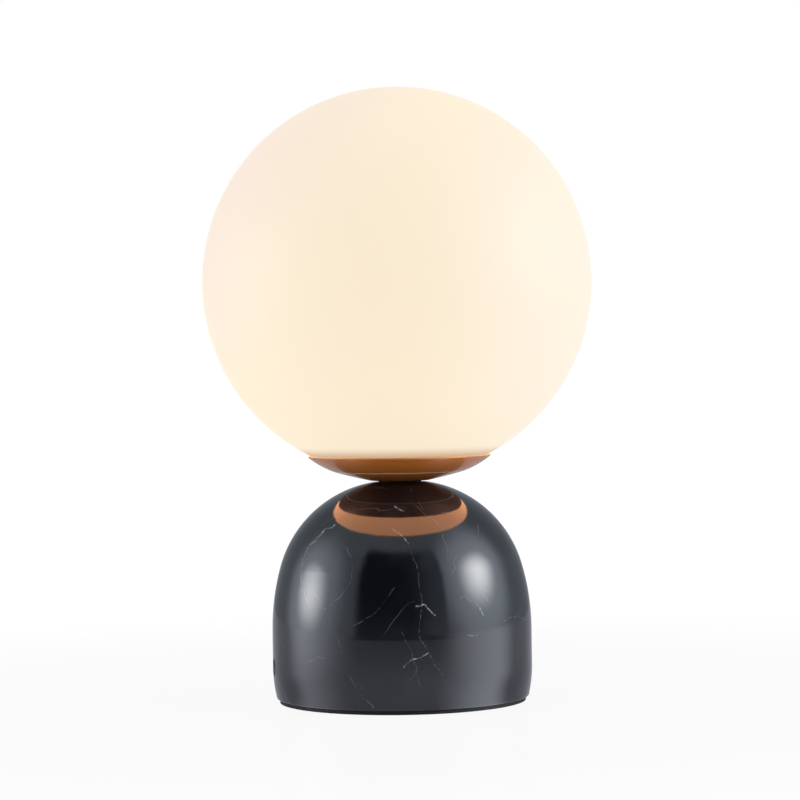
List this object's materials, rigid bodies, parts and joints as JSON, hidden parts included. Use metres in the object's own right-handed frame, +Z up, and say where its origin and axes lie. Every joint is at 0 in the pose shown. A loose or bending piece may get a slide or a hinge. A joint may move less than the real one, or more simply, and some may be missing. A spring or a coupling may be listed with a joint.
{
  "type": "table lamp",
  "caption": "Table lamp with a lit opal glass globe seated in a shallow copper saucer on a domed black marble base.",
  "frame": {"origin": "centre of the pad's underside, on the table plane", "axes": "+Z up through the globe, -Y is the front as pictured, -X is towards the cord outlet side"},
  "size_m": [0.2, 0.2, 0.3152],
  "materials": {
    "opal_glass": "satin, lit from inside",
    "black_marble": "polished, white veins",
    "copper_brown": "satin copper brown",
    "black_foam": "matt",
    "black_rubber": "matt",
    "clear_silicone": "translucent",
    "zinc_steel": "zinc plated",
    "aluminium": "turned",
    "brass": "bare",
    "nickel_cap": "nickel plated",
    "nylon_natural": "matt",
    "nylon_black": "matt",
    "holder_black": "semi-gloss",
    "holder_ceramic": "unglazed",
    "lead_brown": "insulation",
    "lead_blue": "insulation",
    "bulb_opal": "opal, lit",
    "bulb_white": "smooth",
    "cap_insulator": "glassy",
    "board_aluminium": "white coated",
    "led_yellow": "phosphor",
    "board_green": "solder mask",
    "driver_dark": "sleeved"
  },
  "bodies": {
    "base": {"marble_base": "black_marble", "base_pad": "black_foam", "base_cover": "zinc_steel", "cover_screws": "zinc_steel", "cover_plugs": "nylon_natural", "cord_bushing": "nylon_black", "terminal_housing": "nylon_natural", "terminal_clamps": "brass", "terminal_screws": "zinc_steel", "terminal_fixing_screw": "zinc_steel", "threaded_tube": "zinc_steel", "cushion_washer": "black_rubber", "clamp_washer": "zinc_steel", "base_lock_washer": "zinc_steel", "base_nut": "zinc_steel", "neck_washer": "black_foam", "cup": "copper_brown", "cup_gasket": "clear_silicone", "globe_collar": "zinc_steel", "collar_lock_washer": "zinc_steel", "collar_nut": "zinc_steel", "lampholder_cap": "holder_black", "lampholder_sleeve": "holder_black", "lampholder_insert": "holder_ceramic", "lampholder_screw_shell": "brass", "lampholder_centre_contact": "brass", "lampholder_terminals": "brass", "lampholder_terminal_screws": "zinc_steel", "lead_live": "lead_brown", "lead_neutral": "lead_blue", "tube_bushes": "nylon_natural"},
    "globe": {"globe_glass": "opal_glass", "globe_ring": "aluminium", "globe_ring_seal": "clear_silicone"},
    "bulb": {"bulb_diffuser": "bulb_opal", "bulb_housing": "bulb_white", "bulb_screw_cap": "nickel_cap", "bulb_cap_insulator": "cap_insulator", "bulb_centre_contact": "nickel_cap", "bulb_led_board": "board_aluminium", "bulb_leds": "led_yellow", "bulb_driver_board": "board_green", "bulb_driver_parts": "driver_dark"}
  },
  "joints": [
    {"name": "globe_lift", "type": "slide", "parent": "base", "child": "globe", "axis": [0, 0, 1], "range_m": [0, 0.15]},
    {"name": "bulb_lift", "type": "slide", "parent": "base", "child": "bulb", "axis": [0, 0, 1], "range_m": [0, 0.03]}
  ]
}
